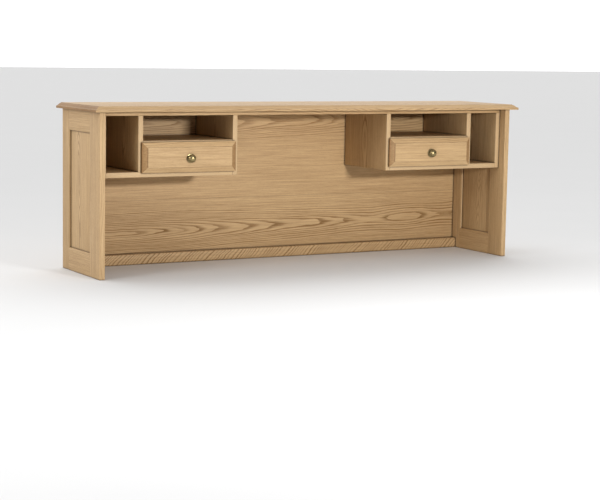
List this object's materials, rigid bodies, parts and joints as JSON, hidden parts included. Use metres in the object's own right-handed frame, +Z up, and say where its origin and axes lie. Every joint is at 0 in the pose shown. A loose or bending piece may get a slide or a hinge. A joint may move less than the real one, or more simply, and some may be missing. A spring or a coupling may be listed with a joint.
{
  "type": "desk hutch",
  "caption": "Wide desk hutch with a moulded top, framed panel ends, a plywood back and hanging units with open cubbies and sliding drawers.",
  "frame": {"origin": "middle of the top board's footprint, at the height of the desk surface the hutch stands on", "axes": "+X along the width to the right as seen from the front, +Y to the back, +Z up"},
  "size_m": [1.881, 0.394, 0.635],
  "materials": {
    "oak": "satin clear lacquer",
    "oak_plywood": "satin clear lacquer on oak veneer",
    "maple": "satin clear lacquer",
    "antique_brass": "antiqued, lacquered",
    "zinc_steel": "bright zinc plate"
  },
  "bodies": {
    "carcass": {"top_board": "oak", "sub_top": "oak", "back_panel": "oak_plywood", "back_rail": "oak", "left_front_stile": "oak", "left_rear_stile": "oak", "left_top_rail": "oak", "left_bottom_rail": "oak", "left_end_panel": "oak", "left_inner_panel": "oak", "left_outer_panel": "oak", "left_unit_bottom": "oak", "left_divider": "oak", "left_drawer_shelf": "oak", "left_inner_cabinet_slide": "zinc_steel", "left_outer_cabinet_slide": "zinc_steel", "right_front_stile": "oak", "right_rear_stile": "oak", "right_top_rail": "oak", "right_bottom_rail": "oak", "right_end_panel": "oak", "right_inner_panel": "oak", "right_outer_panel": "oak", "right_unit_bottom": "oak", "right_divider": "oak", "right_drawer_shelf": "oak", "right_inner_cabinet_slide": "zinc_steel", "right_outer_cabinet_slide": "zinc_steel"},
    "left_drawer": {"left_drawer_front": "oak", "left_drawer_box_front": "maple", "left_drawer_box_back": "maple", "left_drawer_inner_side": "maple", "left_drawer_outer_side": "maple", "left_drawer_bottom": "maple", "left_knob": "antique_brass", "left_knob_rose": "antique_brass", "left_knob_screw": "zinc_steel", "left_inner_front_screw": "zinc_steel", "left_outer_front_screw": "zinc_steel", "left_inner_drawer_slide": "zinc_steel", "left_outer_drawer_slide": "zinc_steel"},
    "left_slide_middles": {"left_inner_middle_slide": "zinc_steel", "left_outer_middle_slide": "zinc_steel"},
    "right_drawer": {"right_drawer_front": "oak", "right_drawer_box_front": "maple", "right_drawer_box_back": "maple", "right_drawer_inner_side": "maple", "right_drawer_outer_side": "maple", "right_drawer_bottom": "maple", "right_knob": "antique_brass", "right_knob_rose": "antique_brass", "right_knob_screw": "zinc_steel", "right_inner_front_screw": "zinc_steel", "right_outer_front_screw": "zinc_steel", "right_inner_drawer_slide": "zinc_steel", "right_outer_drawer_slide": "zinc_steel"},
    "right_slide_middles": {"right_inner_middle_slide": "zinc_steel", "right_outer_middle_slide": "zinc_steel"}
  },
  "joints": [
    {"name": "left_drawer_slide", "type": "slide", "parent": "carcass", "child": "left_drawer", "axis": [0, -1, 0], "range_m": [0, 0.28]},
    {"name": "left_middle_slide", "type": "slide", "parent": "carcass", "child": "left_slide_middles", "axis": [0, -1, 0], "range_m": [0, 0.14]},
    {"name": "right_drawer_slide", "type": "slide", "parent": "carcass", "child": "right_drawer", "axis": [0, -1, 0], "range_m": [0, 0.28]},
    {"name": "right_middle_slide", "type": "slide", "parent": "carcass", "child": "right_slide_middles", "axis": [0, -1, 0], "range_m": [0, 0.14]}
  ],
  "couplings": [
    {"joint": "left_middle_slide", "follows": "left_drawer_slide", "ratio": 0.5},
    {"joint": "right_middle_slide", "follows": "right_drawer_slide", "ratio": 0.5}
  ]
}
